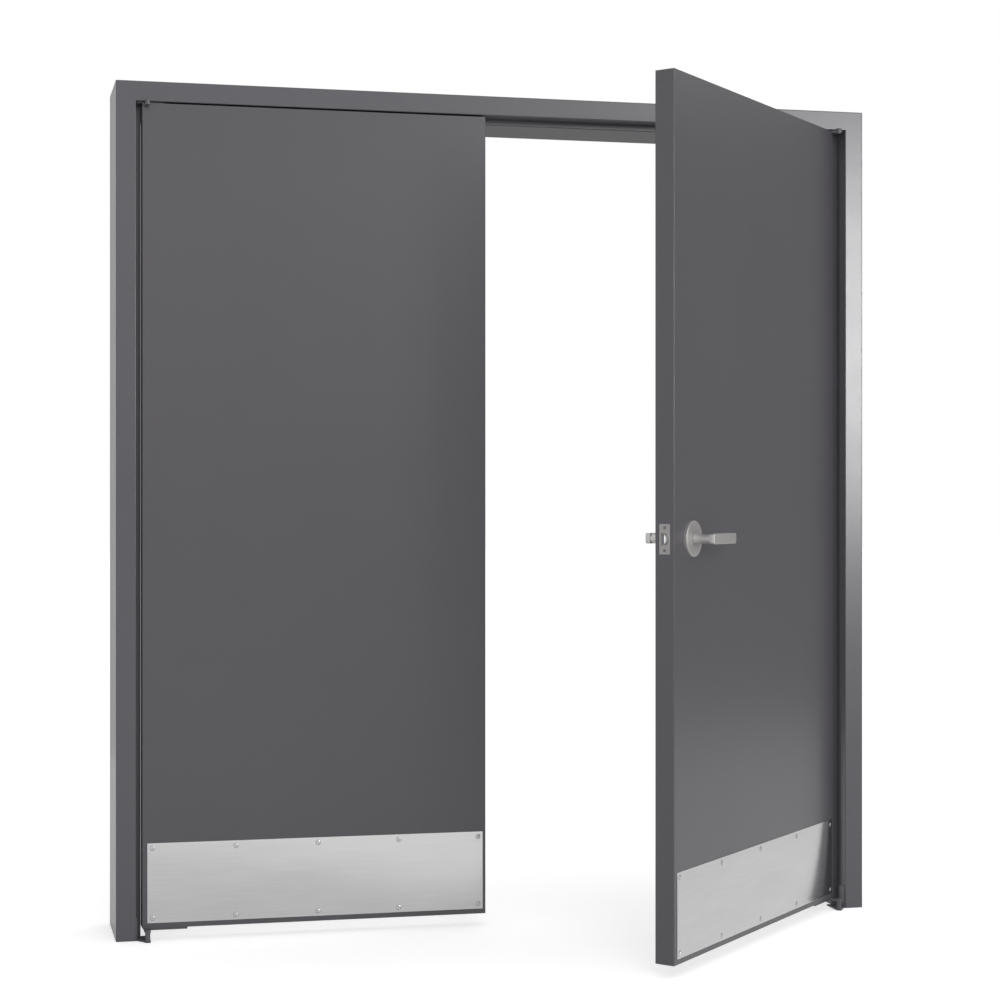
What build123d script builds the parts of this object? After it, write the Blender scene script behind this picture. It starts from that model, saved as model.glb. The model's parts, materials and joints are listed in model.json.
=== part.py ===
from build123d import *
import math
import os

# Hollow metal double door: a pressed-steel frame with an unequal pair of leaves on offset
# pivots. The left leaf is shut and the right one stands open towards the pull side.
# Millimetres. +X runs right along the opening, +Y into the wall, +Z up. The origin is the
# centre of the left floor anchor's sole, midway across the left jamb.

# Opening and frame profile
opening_width = 1930.4
opening_height = 2133.6
face_width = 50.8
frame_depth = 235.0
rabbet_depth = 57.15
stop_height = 15.9
frame_sheet = 1.9
bend_outer_radius = 2.5
wall_return = 12.7

# Floor anchors
anchor_thickness = 3.0
anchor_width = 40.0
anchor_tab_height = 45.0
anchor_hole_radius = 5.5
anchor_hole_spacing = 120.0

# Leaves
leaf_thickness = 50.8
left_leaf_width = 898.4
undercut = 31.0
top_gap = 5.0
hinge_gap = 15.5
meeting_gap = 5.6
bevel_slope = 1 / 16
skin = 1.5
edge_outer_radius = 2.0
lock_channel_leg = 20.0
channel_sheet = 1.5
top_channel_leg = 25.0
bottom_channel_recess = 25.0
channel_end_gap = 0.6

# Offset pivots: the axis stands in front of the pull face
pivot_inset = 12.0
pivot_offset = 22.0
bracket_thickness = 3.0
bracket_length = 70.0
bracket_side_gap = 3.5
bracket_setback = 12.0
arm_thickness = 6.0
arm_length = 110.0
arm_side_gap = 5.0
tongue_width = 11.0
top_barrel_radius = 6.5
top_barrel_height = 10.0
top_pin_radius = 3.5
bottom_barrel_radius = 8.0
post_radius = 6.5
spigot_radius = 4.5
pin_clearance = 0.08
thrust_clearance = 0.3
foot_thickness = 4.0
foot_leg_thickness = 3.0
foot_leg_width = 40.0
foot_leg_height = 60.0
foot_leg_setback = 4.0
riser_width = 12.0
riser_length = 80.0

# How far the right leaf stands open
right_open_angle = 45.0

# Lockset
lever_height = 1028.0
backset = 95.25
cross_bore_radius = 27.0
lock_body_radius = 25.0
rose_radius = 43.0
rose_thickness = 8.0
rose_edge_chamfer = 1.2
neck_radius = 12.0
neck_clearance = 0.3
neck_end_gap = 0.5
lever_projection = 65.0
lever_thickness = 13.0
lever_bar_height = 25.0
lever_reach = 112.0
lever_corner_radius = 5.0
lever_edge_chamfer = 1.5
spindle_side = 8.0
spindle_socket_depth = 20.0
spindle_hole_radius = 6.0

# Latch
faceplate_width = 28.6
faceplate_height = 71.4
plate_corner_radius = 1.0
faceplate_thickness = 1.5
plate_fit = 0.25
bolt_width = 18.0
bolt_height = 26.0
bolt_round_depth = 8.0
bolt_clearance = 0.6
bolt_throw = 12.7
bolt_tail = 32.0
bolt_nose_flat = 4.0
bolt_low_side = 1.0
case_wall = 1.5
case_corner_radius = 4.0

# Strike
strike_width = 31.75
strike_height = 123.8
strike_thickness = 1.5
strike_hole_width = 22.0
strike_hole_height = 34.0
strike_hole_radius = 3.0
strike_box_depth = 20.0
strike_box_wall = 1.2
strike_length_height = 200.0

# Kick plates
kick_height = 203.2
kick_thickness = 1.3
kick_bottom_margin = 13.0
kick_hinge_margin = 12.7
left_kick_lock_margin = 8.0
right_kick_lock_margin = 16.0
kick_corner_radius = 1.5

# Places that follow from the sizes
outer_x = -face_width / 2
rabbet_x = face_width / 2
stop_x = rabbet_x + stop_height
front_y = -frame_depth / 2
back_y = frame_depth / 2
frame_top = opening_height + face_width
outer_width = opening_width + 2 * face_width
opening_middle = rabbet_x + opening_width / 2
right_leaf_width = opening_width - 2 * hinge_gap - meeting_gap - left_leaf_width
hinge_x = rabbet_x + hinge_gap
pull_y = front_y
push_y = pull_y + leaf_thickness
leaf_low = undercut
leaf_high = opening_height - top_gap
middle_y = (pull_y + push_y) / 2
pivot_x = hinge_x + pivot_inset
pivot_y = pull_y - pivot_offset
bevel_angle = math.degrees(math.atan(bevel_slope))
lock_x = hinge_x + right_leaf_width
lever_x = lock_x - backset
bottom_web = leaf_low + bottom_channel_recess
arm_low = leaf_low - arm_thickness
past = 5.0


def block(low, high):
    """A box between two opposite corners."""
    size = [b - a for a, b in zip(low, high)]
    return Pos(*low) * Box(*size, align=(Align.MIN, Align.MIN, Align.MIN))


def column(outline, low, high):
    """An outline drawn in X and Y, carried up from low to high."""
    return Pos(0, 0, low) * extrude(outline, amount=high - low)


def polygon(points):
    """A flat face in X and Y through the points."""
    return make_face(Polyline(*points, close=True))


def round_corners(face, places, radius):
    """The face with the corners nearest the places rounded."""
    corners = [face.vertices().sort_by_distance((x, y, 0))[0] for x, y in places]
    return fillet(corners, radius)


def mirrored(shape):
    """The shape on the other side of the middle of the opening."""
    return mirror(shape, about=Plane.YZ.offset(opening_middle))


def on_right_leaf(shape):
    """A piece of a shut left-hand leaf, mirrored and swung open about the right pivot."""
    right_pivot_x = 2 * opening_middle - pivot_x
    swing = Pos(right_pivot_x, pivot_y, 0) * Rot(0, 0, right_open_angle)
    return swing * Pos(-right_pivot_x, -pivot_y, 0) * mirrored(shape)


# Frame

def frame_section():
    """The pressed profile of jamb and head: one rabbet, a stop as deep as the wall, and returns."""
    stop_front = front_y + rabbet_depth
    outline = polygon([
        (outer_x, front_y), (rabbet_x, front_y), (rabbet_x, stop_front), (stop_x, stop_front),
        (stop_x, back_y), (outer_x, back_y),
    ])
    outward = [
        (outer_x, front_y), (rabbet_x, front_y), (stop_x, stop_front), (stop_x, back_y),
        (outer_x, back_y),
    ]
    outline = round_corners(outline, outward, bend_outer_radius)
    outline = round_corners(outline, [(rabbet_x, stop_front)], bend_outer_radius - frame_sheet)
    hollow = offset(outline, amount=-frame_sheet)
    slot = polygon([
        (outer_x - past, front_y + wall_return), (outer_x + frame_sheet + past, front_y + wall_return),
        (outer_x + frame_sheet + past, back_y - wall_return), (outer_x - past, back_y - wall_return),
    ])
    return outline - hollow - slot


def back_plate_section():
    """The flat plate that closes the wall side between the returns."""
    return polygon([
        (outer_x, front_y + wall_return), (outer_x + frame_sheet, front_y + wall_return),
        (outer_x + frame_sheet, back_y - wall_return), (outer_x, back_y - wall_return),
    ])


def mitre_wedge(third_corner):
    """A prism on one side of the left corner's 45 degree mitre."""
    reach = stop_x - outer_x + past
    ends = [(outer_x - past, frame_top + past), (outer_x + reach, frame_top - reach), third_corner]
    face = make_face(Polyline(*[(x, front_y - past, z) for x, z in ends], close=True))
    return extrude(face, amount=frame_depth + 2 * past, dir=(0, 1, 0))


def jamb_length(section):
    """A section stood up as the left jamb, mitred at its top."""
    above = mitre_wedge((stop_x + past, frame_top + past))
    return column(section, 0, frame_top) - above


def head_length(section):
    """A section laid across as the head, mitred at both ends."""
    below = mitre_wedge((outer_x - past, frame_top - (stop_x - outer_x) - past))
    bar = Pos(outer_x, 0, frame_top + outer_x) * Rot(0, 90, 0) * column(section, 0, outer_width)
    return bar - below - mirrored(below)


def floor_anchor():
    """A strap across the jamb's hollow, bolted to the floor, with a tab up each face."""
    reach = frame_depth / 2 - frame_sheet
    half = anchor_width / 2
    sole = block((-half, -reach, 0), (half, reach, anchor_thickness))
    front_tab = block((-half, -reach, 0), (half, -reach + anchor_thickness, anchor_tab_height))
    back_tab = block((-half, reach - anchor_thickness, 0), (half, reach, anchor_tab_height))
    hole = Cylinder(anchor_hole_radius, 4 * anchor_thickness)
    shift = anchor_hole_spacing / 2
    return sole + front_tab + back_tab - Pos(0, shift, 0) * hole - Pos(0, -shift, 0) * hole


# Pivots

def tongue(width, back_y_reach, tip_radius):
    """A straight tongue from a plate forward to the pivot axis, with a round tip."""
    half = width / 2
    strip = polygon([
        (pivot_x - half, pivot_y), (pivot_x + half, pivot_y),
        (pivot_x + half, back_y_reach), (pivot_x - half, back_y_reach),
    ])
    return strip + Pos(pivot_x, pivot_y) * Circle(tip_radius)


def top_pivot_bracket():
    """The frame's half of the top pivot: a plate under the head with a pin hanging down."""
    low = opening_height - bracket_thickness
    left = rabbet_x + bracket_side_gap
    front = pull_y + bracket_setback
    plate = polygon([
        (left, front), (left + bracket_length, front),
        (left + bracket_length, push_y), (left, push_y),
    ])
    outline = plate + tongue(tongue_width, middle_y, top_barrel_radius)
    pin_low = low - top_barrel_height
    pin = column(Pos(pivot_x, pivot_y) * Circle(top_pin_radius), pin_low, low)
    return column(outline, low, opening_height) + pin


def top_pivot_arm():
    """The leaf's half of the top pivot: a mortised arm with a short barrel."""
    left = hinge_x + arm_side_gap
    body = polygon([
        (left, pull_y + arm_side_gap), (left + arm_length, pull_y + arm_side_gap),
        (left + arm_length, push_y - arm_side_gap), (left, push_y - arm_side_gap),
    ])
    outline = body + tongue(tongue_width, middle_y, top_barrel_radius)
    barrel_high = opening_height - bracket_thickness - thrust_clearance
    barrel_low = barrel_high - top_barrel_height
    barrel = column(Pos(pivot_x, pivot_y) * Circle(top_barrel_radius), barrel_low, barrel_high)
    bore = column(Pos(pivot_x, pivot_y) * Circle(top_pin_radius + pin_clearance), barrel_low - past,
                  barrel_high + past)
    return column(outline, leaf_high - arm_thickness, leaf_high) + barrel - bore


def bottom_pivot_bracket():
    """The frame's half of the bottom pivot: a foot on the floor with a shouldered post."""
    leg_front = pull_y + foot_leg_setback
    leg_back = leg_front + foot_leg_width
    leg = block((rabbet_x, leg_front, 0), (rabbet_x + foot_leg_thickness, leg_back, foot_leg_height))
    half = bottom_barrel_radius
    foot = polygon([
        (rabbet_x, leg_front), (pivot_x - half, pivot_y), (pivot_x + half, pivot_y),
        (pivot_x + half, leg_back), (rabbet_x, leg_back),
    ])
    foot += Pos(pivot_x, pivot_y) * Circle(half)
    axis = Pos(pivot_x, pivot_y)
    shoulder = arm_low - thrust_clearance
    post = column(axis * Circle(post_radius), 0, shoulder)
    spigot = column(axis * Circle(spigot_radius), 0, leaf_low - thrust_clearance)
    return leg + column(foot, 0, foot_thickness) + post + spigot


def bottom_pivot_arm():
    """The leaf's half of the bottom pivot: an arm under the leaf with a riser to its channel."""
    left = hinge_x + arm_side_gap
    body = polygon([
        (left, pull_y + arm_side_gap), (left + arm_length, pull_y + arm_side_gap),
        (left + arm_length, push_y - arm_side_gap), (left, push_y - arm_side_gap),
    ])
    outline = body + tongue(2 * bottom_barrel_radius, middle_y, bottom_barrel_radius)
    bore = column(Pos(pivot_x, pivot_y) * Circle(spigot_radius + pin_clearance), 0, leaf_high)
    riser = block((left, middle_y - riser_width / 2, arm_low),
                  (left + riser_length, middle_y + riser_width / 2, bottom_web))
    return column(outline, arm_low, leaf_low) + riser - bore


# Leaves, drawn as left-hand leaves of a given width

def lock_edge_x(width, y, inset=0.0):
    """Where the bevelled lock edge stands at a depth, moved in square to itself."""
    slant = math.cos(math.radians(bevel_angle))
    return hinge_x + width - (y - pull_y) * bevel_slope - inset / slant


def leaf_band(width, inset, front, back):
    """The leaf's plan between two depths, held in from both edges."""
    return polygon([
        (hinge_x + inset, front), (lock_edge_x(width, front, inset), front),
        (lock_edge_x(width, back, inset), back), (hinge_x + inset, back),
    ])


def leg_end_x(width):
    """Where the face sheets butt against the legs of the lock edge's channel."""
    return hinge_x + width - lock_channel_leg


def pull_sheet(width):
    """The pull face and the hinge edge, folded from one sheet."""
    end = leg_end_x(width)
    inner_x = hinge_x + skin
    inner_y = pull_y + skin
    outline = polygon([(hinge_x, pull_y), (end, pull_y), (end, push_y), (hinge_x, push_y)])
    outline = round_corners(outline, [(hinge_x, pull_y)], edge_outer_radius)
    hollow = polygon([
        (inner_x, inner_y), (end + past, inner_y), (end + past, push_y + past), (inner_x, push_y + past),
    ])
    hollow = round_corners(hollow, [(inner_x, inner_y)], edge_outer_radius - skin)
    return column(outline - hollow, leaf_low, leaf_high)


def push_sheet(width):
    """The flat push face, between the hinge edge and the lock edge's channel."""
    return block((hinge_x + skin, push_y - skin, leaf_low), (leg_end_x(width), push_y, leaf_high))


def lock_edge_channel(width, low, high):
    """A length of the channel that makes the bevelled lock edge, its legs in line with the faces."""
    outline = leaf_band(width, 0, pull_y, push_y)
    corners = [(lock_edge_x(width, y), y) for y in (pull_y, push_y)]
    outline = round_corners(outline, corners, edge_outer_radius)
    hollow = leaf_band(width, skin, pull_y + skin, push_y - skin)
    inner = [(lock_edge_x(width, y, skin), y) for y in (pull_y + skin, push_y - skin)]
    hollow = round_corners(hollow, inner, edge_outer_radius - skin)
    beyond = polygon([
        (hinge_x - past, pull_y - past), (leg_end_x(width), pull_y - past),
        (leg_end_x(width), push_y + past), (hinge_x - past, push_y + past),
    ])
    return column(outline - hollow - beyond, low, high)


def end_channel(width, low, high, hollow_low, hollow_high):
    """A channel between the faces, hollow between the given levels."""
    outline = leaf_band(width, skin + channel_end_gap, pull_y + skin, push_y - skin)
    hollow = block((hinge_x - past, pull_y + skin + channel_sheet, hollow_low),
                   (hinge_x + width + past, push_y - skin - channel_sheet, hollow_high))
    return column(outline, low, high) - hollow


def top_channel(width):
    """The flush channel that closes the top of a leaf, legs down."""
    low = leaf_high - top_channel_leg
    return end_channel(width, low, leaf_high, low - past, leaf_high - channel_sheet)


def bottom_channel(width):
    """The inverted channel at the foot of a leaf, its web set up inside."""
    return end_channel(width, leaf_low, bottom_web + channel_sheet, leaf_low - past, bottom_web)


def kick_plate(width, lock_margin, face_y, outward):
    """A stainless plate on a face of the leaf, above its bottom edge."""
    left = hinge_x + kick_hinge_margin
    right = hinge_x + width - lock_margin
    low = leaf_low + kick_bottom_margin
    centre = Pos((left + right) / 2, face_y, low + kick_height / 2)
    outline = RectangleRounded(right - left, kick_height, kick_corner_radius)
    return extrude(centre * Rot(90, 0, 0) * outline, amount=kick_thickness, dir=(0, outward, 0))


# Lock and latch, drawn on a left-hand leaf as wide as the right one

def edge_plane(width):
    """A plane on the lock edge at lever height: x across the edge, y up, z outwards."""
    slant = math.radians(bevel_angle)
    return Plane(
        origin=(lock_edge_x(width, middle_y), middle_y, lever_height),
        x_dir=(-math.sin(slant), math.cos(slant), 0),
        z_dir=(math.cos(slant), math.sin(slant), 0),
    )


def edge_pocket(width, plate_width, plate_height, depth):
    """The cut-out in the lock edge that a plate sits in."""
    outline = RectangleRounded(plate_width + 2 * plate_fit, plate_height + 2 * plate_fit,
                               plate_corner_radius + plate_fit)
    plane = edge_plane(width)
    return extrude(plane * outline, amount=depth + past, dir=-plane.z_dir) + extrude(
        plane * outline, amount=past, dir=plane.z_dir)


def edge_plate(width, plate_width, plate_height, thickness):
    """A plate let in flush with the lock edge."""
    plane = edge_plane(width)
    outline = RectangleRounded(plate_width, plate_height, plate_corner_radius)
    return extrude(plane * outline, amount=thickness, dir=-plane.z_dir)


def bolt_plane(x):
    """A plane square to the leaf's length: x across the leaf, y up, z towards the lock edge."""
    return Plane(origin=(x, middle_y, lever_height), x_dir=(0, 1, 0), z_dir=(1, 0, 0))


def bolt_outline(clearance=0.0):
    """The bolt's D: rounded towards the pull face, straight towards the push face."""
    half_width = bolt_width / 2 + clearance
    half_height = bolt_height / 2 + clearance
    shoulder = -half_width + bolt_round_depth
    edge = Polyline((shoulder, -half_height), (half_width, -half_height),
                    (half_width, half_height), (shoulder, half_height))
    edge += ThreePointArc((shoulder, half_height), (-half_width, 0), (shoulder, -half_height))
    return make_face(edge)


def latch_bolt():
    """The spring bolt, slanted down towards the push face so that the strike can press it in."""
    tip_x = lock_edge_x(right_leaf_width, middle_y) + bolt_throw
    length = bolt_tail + bolt_throw
    bolt = extrude(bolt_plane(tip_x - length) * bolt_outline(), amount=length)
    flat_end = middle_y - bolt_width / 2 + bolt_nose_flat
    slope = (bolt_throw - bolt_low_side) / (bolt_width - bolt_nose_flat)
    wedge = polygon([
        (tip_x, flat_end), (tip_x + past, flat_end),
        (tip_x + past, middle_y + bolt_width / 2 + past),
        (tip_x - slope * (bolt_width - bolt_nose_flat + past), middle_y + bolt_width / 2 + past),
    ])
    return bolt - column(wedge, lever_height - bolt_height, lever_height + bolt_height)


def bolt_passage():
    """The D-shaped way that the bolt runs in."""
    return extrude(bolt_plane(lever_x) * bolt_outline(bolt_clearance), amount=backset + past)


def latch_faceplate():
    """The plate on the lock edge that the bolt comes out of."""
    plate = edge_plate(right_leaf_width, faceplate_width, faceplate_height, faceplate_thickness)
    return plate - bolt_passage()


def lock_cylinder(radius):
    """A round bar through the leaf on the lever's axis."""
    bar = Cylinder(radius, leaf_thickness, rotation=(90, 0, 0))
    return Pos(lever_x, middle_y, lever_height) * bar


def latch_case():
    """The tube behind the faceplate, saddled onto the lock body."""
    grown = 2 * (bolt_clearance + case_wall)
    outline = RectangleRounded(bolt_width + grown, bolt_height + grown, case_corner_radius)
    tube = extrude(bolt_plane(lever_x) * outline, amount=backset + past)
    ahead = extrude(edge_plane(right_leaf_width).offset(-faceplate_thickness)
                    * Rectangle(2 * leaf_thickness, 2 * faceplate_height), amount=2 * past)
    return tube - bolt_passage() - ahead - lock_cylinder(lock_body_radius)


def lock_body():
    """The lock's cylinder between the two roses, bored for the spindle."""
    return lock_cylinder(lock_body_radius) - lock_cylinder(spindle_hole_radius)


def on_lever_axis(shape, face_y, outward):
    """A shape made along +Z from the leaf's face, turned to stand out of that face."""
    return Pos(lever_x, face_y, lever_height) * Rot(-90 * outward, 0, 0) * shape


def rose():
    """The round trim plate round the lever's neck."""
    disc = Cylinder(rose_radius, rose_thickness, align=(Align.CENTER, Align.CENTER, Align.MIN))
    disc = chamfer(disc.edges().group_by(Axis.Z)[-1], rose_edge_chamfer)
    return disc - Cylinder(neck_radius + neck_clearance, 4 * rose_thickness)


def lever():
    """A round neck and a flat bar that points towards the hinges."""
    bar_low = lever_projection - lever_thickness
    neck = column(Circle(neck_radius), neck_end_gap, bar_low)
    half = lever_bar_height / 2
    length = lever_reach + half
    outline = Pos(half - length / 2, 0) * RectangleRounded(length, lever_bar_height, lever_corner_radius)
    bar = column(outline, bar_low, lever_projection)
    bar = chamfer(bar.edges().group_by(Axis.Z)[-1], lever_edge_chamfer)
    return neck + bar


def spindle():
    """The square bar that joins the two levers through the lock body."""
    length = leaf_thickness + 2 * (neck_end_gap + spindle_socket_depth)
    return Pos(lever_x, middle_y, lever_height) * Box(spindle_side, length, spindle_side)


def pull_lever():
    return on_lever_axis(lever(), pull_y, -1) - spindle()


def push_lever():
    return on_lever_axis(lever(), push_y, 1) - spindle()


def pull_rose():
    return on_lever_axis(rose(), pull_y, -1)


def push_rose():
    return on_lever_axis(rose(), push_y, 1)


# Strike, in the left leaf's lock edge

def strike_opening(depth):
    """The hole in the strike that the bolt drops into."""
    plane = edge_plane(left_leaf_width)
    outline = RectangleRounded(strike_hole_width, strike_hole_height, strike_hole_radius)
    inward = extrude(plane * outline, amount=depth, dir=-plane.z_dir)
    return inward + extrude(plane * outline, amount=past, dir=plane.z_dir)


def strike_plate():
    plate = edge_plate(left_leaf_width, strike_width, strike_height, strike_thickness)
    return plate - strike_opening(strike_box_depth)


def strike_box():
    """The open box behind the strike that keeps the leaf's inside closed."""
    grown = 2 * strike_box_wall
    outline = RectangleRounded(strike_hole_width + grown, strike_hole_height + grown,
                               strike_hole_radius + strike_box_wall)
    plane = edge_plane(left_leaf_width).offset(-strike_thickness)
    depth = strike_box_depth - strike_thickness + strike_box_wall
    return extrude(plane * outline, amount=depth, dir=-plane.z_dir) - strike_opening(strike_box_depth)


# Assembly

def frame_parts():
    section = frame_section()
    plate = back_plate_section()
    left_of_frame = {
        "jamb": jamb_length(section),
        "jamb_back_plate": jamb_length(plate),
        "floor_anchor": floor_anchor(),
        "top_pivot_bracket": top_pivot_bracket(),
        "bottom_pivot_bracket": bottom_pivot_bracket(),
    }
    parts = {"frame_head": head_length(section), "head_back_plate": head_length(plate)}
    for name, shape in left_of_frame.items():
        parts["left_" + name] = shape
        parts["right_" + name] = mirrored(shape)
    return parts


def leaf_parts(width, kick_lock_margin):
    """The pieces that both leaves have, drawn on a shut left-hand leaf."""
    arm = top_pivot_arm()
    return {
        "pull_sheet": pull_sheet(width) - arm,
        "push_sheet": push_sheet(width),
        "top_channel": top_channel(width) - arm,
        "bottom_channel": bottom_channel(width),
        "top_pivot_arm": arm,
        "bottom_pivot_arm": bottom_pivot_arm(),
        "pull_kick_plate": kick_plate(width, kick_lock_margin, pull_y, -1),
        "push_kick_plate": kick_plate(width, kick_lock_margin, push_y, 1),
    }


def left_leaf_parts():
    parts = leaf_parts(left_leaf_width, left_kick_lock_margin)
    strike_low = lever_height - strike_length_height / 2
    strike_high = lever_height + strike_length_height / 2
    parts["lock_edge_lower_channel"] = lock_edge_channel(left_leaf_width, leaf_low, strike_low)
    parts["lock_edge_strike_channel"] = lock_edge_channel(left_leaf_width, strike_low, strike_high)
    parts["lock_edge_upper_channel"] = lock_edge_channel(left_leaf_width, strike_high, leaf_high)
    parts["lock_edge_strike_channel"] -= edge_pocket(left_leaf_width, strike_width, strike_height, skin)
    parts = {"left_" + name: shape for name, shape in parts.items()}
    parts["strike_plate"] = strike_plate()
    parts["strike_box"] = strike_box()
    return parts


def right_leaf_parts():
    parts = leaf_parts(right_leaf_width, right_kick_lock_margin)
    pocket = edge_pocket(right_leaf_width, faceplate_width, faceplate_height, skin)
    bore = lock_cylinder(cross_bore_radius)
    parts["lock_edge_channel"] = lock_edge_channel(right_leaf_width, leaf_low, leaf_high) - pocket
    parts["pull_sheet"] -= bore
    parts["push_sheet"] -= bore
    parts = {"right_" + name: shape for name, shape in parts.items()}
    parts["latch_faceplate"] = latch_faceplate()
    parts["latch_case"] = latch_case()
    parts["latch_bolt"] = latch_bolt()
    parts["lock_body"] = lock_body()
    parts["pull_rose"] = pull_rose()
    parts["push_rose"] = push_rose()
    parts["pull_lever"] = pull_lever()
    parts["push_lever"] = push_lever()
    parts["spindle"] = spindle()
    return {name: on_right_leaf(shape) for name, shape in parts.items()}


def all_parts():
    return {**frame_parts(), **left_leaf_parts(), **right_leaf_parts()}


os.makedirs("parts", exist_ok=True)
for node, shape in all_parts().items():
    export_step(shape, f"parts/{node}.step")
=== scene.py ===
"""Finishes a hollow metal double door: satin enamel, brushed kick plates, latchset, screws, stage."""
import json
import math

import bpy
import numpy as np
from bpy.props import FloatProperty, FloatVectorProperty, IntProperty, PointerProperty
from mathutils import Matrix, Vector


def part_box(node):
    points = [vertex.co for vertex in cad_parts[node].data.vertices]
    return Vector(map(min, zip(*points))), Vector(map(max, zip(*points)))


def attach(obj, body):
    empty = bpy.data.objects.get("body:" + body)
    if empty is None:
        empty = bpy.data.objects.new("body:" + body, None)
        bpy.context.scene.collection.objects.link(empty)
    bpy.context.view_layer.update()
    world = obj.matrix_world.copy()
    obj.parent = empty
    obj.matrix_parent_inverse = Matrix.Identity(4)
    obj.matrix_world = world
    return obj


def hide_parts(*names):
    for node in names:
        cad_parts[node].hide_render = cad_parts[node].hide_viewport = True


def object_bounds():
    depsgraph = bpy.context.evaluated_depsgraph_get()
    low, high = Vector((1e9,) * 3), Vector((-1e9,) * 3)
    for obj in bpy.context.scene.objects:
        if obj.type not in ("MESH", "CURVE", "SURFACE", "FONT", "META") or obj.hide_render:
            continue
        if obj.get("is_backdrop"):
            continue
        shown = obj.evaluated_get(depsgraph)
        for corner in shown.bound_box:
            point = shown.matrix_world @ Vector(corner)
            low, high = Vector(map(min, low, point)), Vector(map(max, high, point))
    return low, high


bl_info = {
    "name": "Hollow metal double door",
    "version": (1, 0, 0),
    "blender": (4, 5, 0),
    "location": "3D View > Sidebar > Door",
    "description": "Enamel, brushed steel trim, latchset and screws of a double door",
    "category": "Object",
}

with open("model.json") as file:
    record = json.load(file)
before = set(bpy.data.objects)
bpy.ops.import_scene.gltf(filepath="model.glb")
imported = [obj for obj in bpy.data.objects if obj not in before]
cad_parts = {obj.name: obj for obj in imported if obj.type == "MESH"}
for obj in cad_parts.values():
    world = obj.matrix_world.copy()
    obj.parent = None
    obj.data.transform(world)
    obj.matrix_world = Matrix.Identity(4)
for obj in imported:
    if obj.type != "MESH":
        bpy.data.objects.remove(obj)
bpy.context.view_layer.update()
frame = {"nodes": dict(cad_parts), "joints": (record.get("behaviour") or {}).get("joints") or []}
JOINTS = {joint["name"]: joint for joint in frame["joints"]}
MM = 0.001
LEAVES = ("left", "right")
FACES = ("pull", "push")

# Shapes. A rose's last rings run in to its hole: how far each is from it, and how far it drops.
EDGE_BEVEL = 1 / 16
CIRCLE_STEPS = 96
CORNER_STEPS = 8
ARC_STEPS = 6
NECK_STEPS = 16
SMOOTH_BELOW = math.radians(35)
SMALLEST_CORNER = 0.02 * MM
KICK_PLATE_CORNER = 1.5 * MM
NECK_WAIST = 0.3 * MM
ROSE_CLEARANCE = 0.3 * MM
ROSE_RING_REACHES = np.array([1.5, 0.5, 0.0]) * MM
ROSE_RING_DROPS = np.array([0.15, 0.3, 1.2]) * MM

# Oval screw heads, in shares of a head's radius for places and of its crown for depths.
HEAD_STEPS = 48
HEAD_FOOT = 0.3 * MM
RIM_RINGS = np.linspace(1.0, 0.79, 8)
INNER_RINGS = np.linspace(0.71, 0.03, 11)
GROOVE_PLACE = 0.88
GROOVE_WIDTH = 0.09
GROOVE_DEPTH = 0.2
# Painted shade: how far the groove near a screw head's rim is darkened, standing in for the shade in it.
GROOVE_PAINTED_SHADE = 1.4
RECESS_WIDTH = 0.14
RECESS_LENGTH = 0.55
RECESS_SLOPE = 0.08
RECESS_DEPTH = 0.75
# Painted shade: how far a screw head's cross recess is darkened, standing in for the shade in it.
RECESS_PAINTED_SHADE = 0.45

# Places of screws. A turn is in radians, from screw to screw or to a metre of a screw's place.
PLATE_SCREW_CROWN = 0.6 * MM
PIVOT_SCREW_CROWN = 0.9 * MM
FLOOR_SCREW_DROPS = np.array([40, 14]) * MM
HEAD_SCREW_INSET = 16 * MM
HEAD_SCREW_SHARES = {"left": np.array([0.5, 0.85]), "right": np.array([0.5, 0.15])}
KICK_SCREW_TURN = 1.3
PLATE_SCREW_TURN = 40
FLOOR_SCREW_TURN = 60
HEAD_SCREW_TURN = 50

# Finishes. Scales are cells to a metre, and streaks have a length and a width.
NOISE_LOW = 0.3
NOISE_HIGH = 0.7
ENAMEL_DETAIL = 3.0
GLOSS_TO_CLOUD = 4
PEEL_DEPTH = 0.1 * MM
HAIR_LINES = (60 * MM, 0.35 * MM)
BROAD_STREAKS = (170 * MM, 2.4 * MM)
HANDLING_CLOUDS = (420 * MM, 90 * MM)
BROAD_SHARE = 0.62
CLOUD_SHARE = 0.3
STREAK_DETAIL = 3.0
STREAK_ROUGHNESS = 0.6
GRAIN_DEPTH = 0.05 * MM
QUARTER_TURN = 0.25
SATIN_SCALE = (300, 300, 2500)
STEEL_SPREAD = 0.05
UNEVEN_SCALE = 600.0
UNEVEN_SHADE = 0.06
# Painted shade: the near-black that screw grooves and recesses are painted towards.
PAINTED_SHADE_COLOUR = (0.03, 0.03, 0.03, 1)
ZINC_ROUGHNESS = 0.4
BOLT_ROUGHNESS = 0.35
KICK_SCREW_ROUGHNESS = 0.3
PLATE_SCREW_ROUGHNESS = 0.45
PIVOT_SCREW_ROUGHNESS = 0.4

# Stage. The flats stand from each of these places on the floor to the next.
WHITE = (1, 1, 1, 1)
BLACK = (0, 0, 0, 1)
FLOOR_REACH = 40.0
FLOOR_ROUGHNESS = 0.9
FLOOR_SPECULAR = 0.2
FLAT_NAMES = ("left_flat", "middle_flat", "back_flat", "right_flat")
FLAT_PLACES = ((-2.5, 3.5), (-0.1, 3.5), (1.3, 3.5), (6.0, 3.5), (6.0, -2.0))
FLAT_FOOT = 0.02
FLAT_TOP = 3.2
KEY_SIZE = (3.0, 2.0)
SIDE_SIZE = (1.0, 1.8)
SIDE_AIM_HEIGHT = 1.5
HIGH_SIZE = (2.8, 0.7)
HIGH_AIM_X = 1.3
SENSOR_WIDTH = 36.0
VIEW_END = 200.0


# Places on the leaves

def turn_about(point, angle):
    """A turn about the upright line through a point: the point goes to the origin, turns, goes back."""
    there = np.eye(4)
    there[:3, 3] = point
    turn = np.eye(4)
    turn[:2, :2] = [[math.cos(angle), -math.sin(angle)], [math.sin(angle), math.cos(angle)]]
    return there @ turn @ np.linalg.inv(there)


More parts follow.
